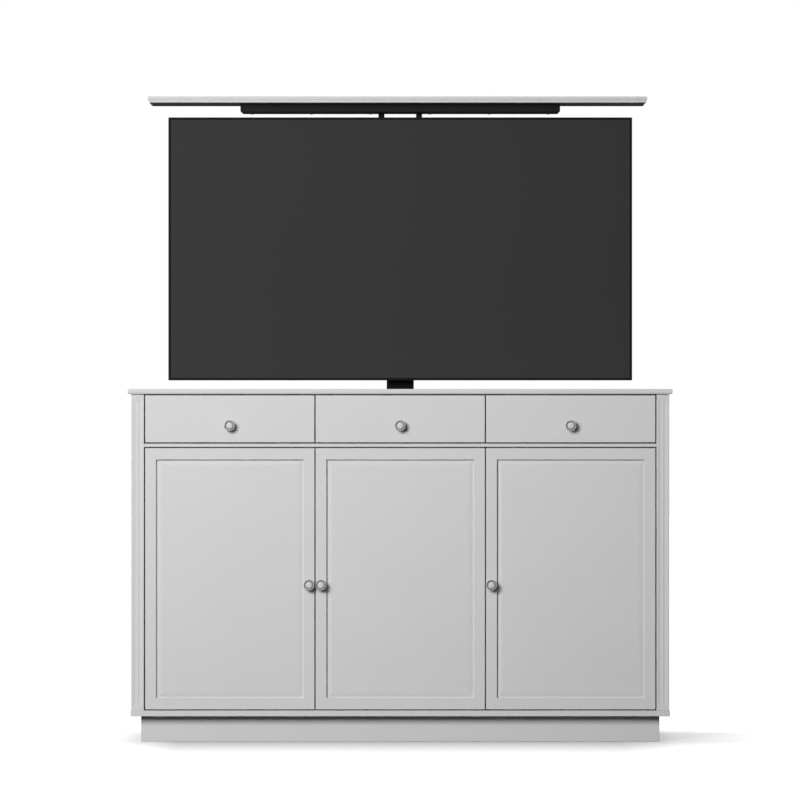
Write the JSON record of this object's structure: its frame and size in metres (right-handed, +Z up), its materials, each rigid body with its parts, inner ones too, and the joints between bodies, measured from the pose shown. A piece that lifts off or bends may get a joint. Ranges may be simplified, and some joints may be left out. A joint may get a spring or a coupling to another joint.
{
  "type": "tv lift cabinet",
  "caption": "Low panelled cabinet with drawers and doors before a rear well, from which a telescopic column lift raises a flat television and its lid.",
  "frame": {"origin": "on the floor under the middle of the object's box, which runs from the knobs to the back", "axes": "+X to the right seen from the front, +Y towards the back, +Z up"},
  "size_m": [1.418, 0.454, 1.693],
  "materials": {
    "paint": "satin pale grey paint over fibreboard",
    "birch": "clear satin lacquer",
    "black_metal": "fine matt black powder coat",
    "dark_metal": "satin black powder coat",
    "steel": "zinc plated",
    "nickel": "satin nickel",
    "bronze": "machined",
    "grey_plastic": "fine moulded texture",
    "black_plastic": "fine moulded texture",
    "bezel": "satin black anodised",
    "screen": "anti-glare, switched off",
    "felt": "black felt"
  },
  "bodies": {
    "cabinet": {"top_slab": "paint", "side_panel_left": "paint", "side_panel_right": "paint", "pilaster_left": "paint", "pilaster_right": "paint", "bottom_board": "paint", "plinth_front": "paint", "plinth_rear": "paint", "plinth_left": "paint", "plinth_right": "paint", "back_panel": "paint", "divider_panel": "paint", "partition_left": "paint", "partition_right": "paint", "drawer_shelf": "paint", "bay_shelves": "paint", "shelf_pins": "steel", "hinge_pins": "dark_metal", "door_catches": "grey_plastic", "runner_strips": "birch", "cable_grommet": "black_plastic", "lift_base": "dark_metal", "base_bolts": "steel", "outer_column": "black_metal", "outer_glides": "grey_plastic", "gearbox": "grey_plastic", "lift_motor": "steel", "control_box": "grey_plastic"},
    "middle_stage": {"middle_column": "black_metal", "middle_drive_nut": "bronze", "middle_glides": "grey_plastic"},
    "lower_screw": {"lower_spindle": "steel"},
    "upper_screw": {"upper_spindle": "steel"},
    "carriage": {"inner_column": "black_metal", "inner_drive_nut": "bronze", "hanger_bracket": "dark_metal", "tv_rails": "dark_metal", "rail_screws": "steel", "lid_posts": "black_metal", "lid_carrier": "black_metal", "lid_liner": "felt", "lid_panel": "paint", "tv_screen": "screen", "tv_bezel": "bezel", "tv_back_cover": "black_plastic"},
    "drawer_left": {"drawer_front_left": "paint", "drawer_box_left": "birch", "drawer_knob_left": "nickel"},
    "door_left": {"door_left": "paint", "door_knob_left": "nickel"},
    "drawer_middle": {"drawer_front_middle": "paint", "drawer_box_middle": "birch", "drawer_knob_middle": "nickel"},
    "door_middle": {"door_middle": "paint", "door_knob_middle": "nickel"},
    "drawer_right": {"drawer_front_right": "paint", "drawer_box_right": "birch", "drawer_knob_right": "nickel"},
    "door_right": {"door_right": "paint", "door_knob_right": "nickel"}
  },
  "joints": [
    {"name": "lift_lower_stage", "type": "slide", "parent": "cabinet", "child": "middle_stage", "axis": [0, 0, 1], "range_m": [-0.3783, 0]},
    {"name": "lift_upper_stage", "type": "slide", "parent": "middle_stage", "child": "carriage", "axis": [0, 0, 1], "range_m": [-0.3783, 0]},
    {"name": "lower_screw_turn", "type": "hinge", "parent": "cabinet", "child": "lower_screw", "pos_m": [0, 0.162, 0.3], "axis": [0, 0, 1], "range_deg": [-6810, 0]},
    {"name": "upper_screw_turn", "type": "hinge", "parent": "middle_stage", "child": "upper_screw", "pos_m": [0, 0.162, 0.7], "axis": [0, 0, 1], "range_deg": [-6810, 0]},
    {"name": "drawer_left_slide", "type": "slide", "parent": "cabinet", "child": "drawer_left", "axis": [0, -1, 0], "range_m": [0, 0.12]},
    {"name": "drawer_middle_slide", "type": "slide", "parent": "cabinet", "child": "drawer_middle", "axis": [0, -1, 0], "range_m": [0, 0.12]},
    {"name": "drawer_right_slide", "type": "slide", "parent": "cabinet", "child": "drawer_right", "axis": [0, -1, 0], "range_m": [0, 0.12]},
    {"name": "door_left_hinge", "type": "hinge", "parent": "cabinet", "child": "door_left", "pos_m": [-0.656, -0.197, 0.426], "axis": [0, 0, -1], "range_deg": [0, 95]},
    {"name": "door_middle_hinge", "type": "hinge", "parent": "cabinet", "child": "door_middle", "pos_m": [0.21233, -0.197, 0.426], "axis": [0, 0, 1], "range_deg": [0, 95]},
    {"name": "door_right_hinge", "type": "hinge", "parent": "cabinet", "child": "door_right", "pos_m": [0.656, -0.197, 0.426], "axis": [0, 0, 1], "range_deg": [0, 95]}
  ],
  "couplings": [
    {"joint": "lift_upper_stage", "follows": "lift_lower_stage", "ratio": 1},
    {"joint": "lower_screw_turn", "follows": "lift_lower_stage", "rad_per_m": 314.16},
    {"joint": "upper_screw_turn", "follows": "lift_lower_stage", "rad_per_m": 314.16}
  ]
}
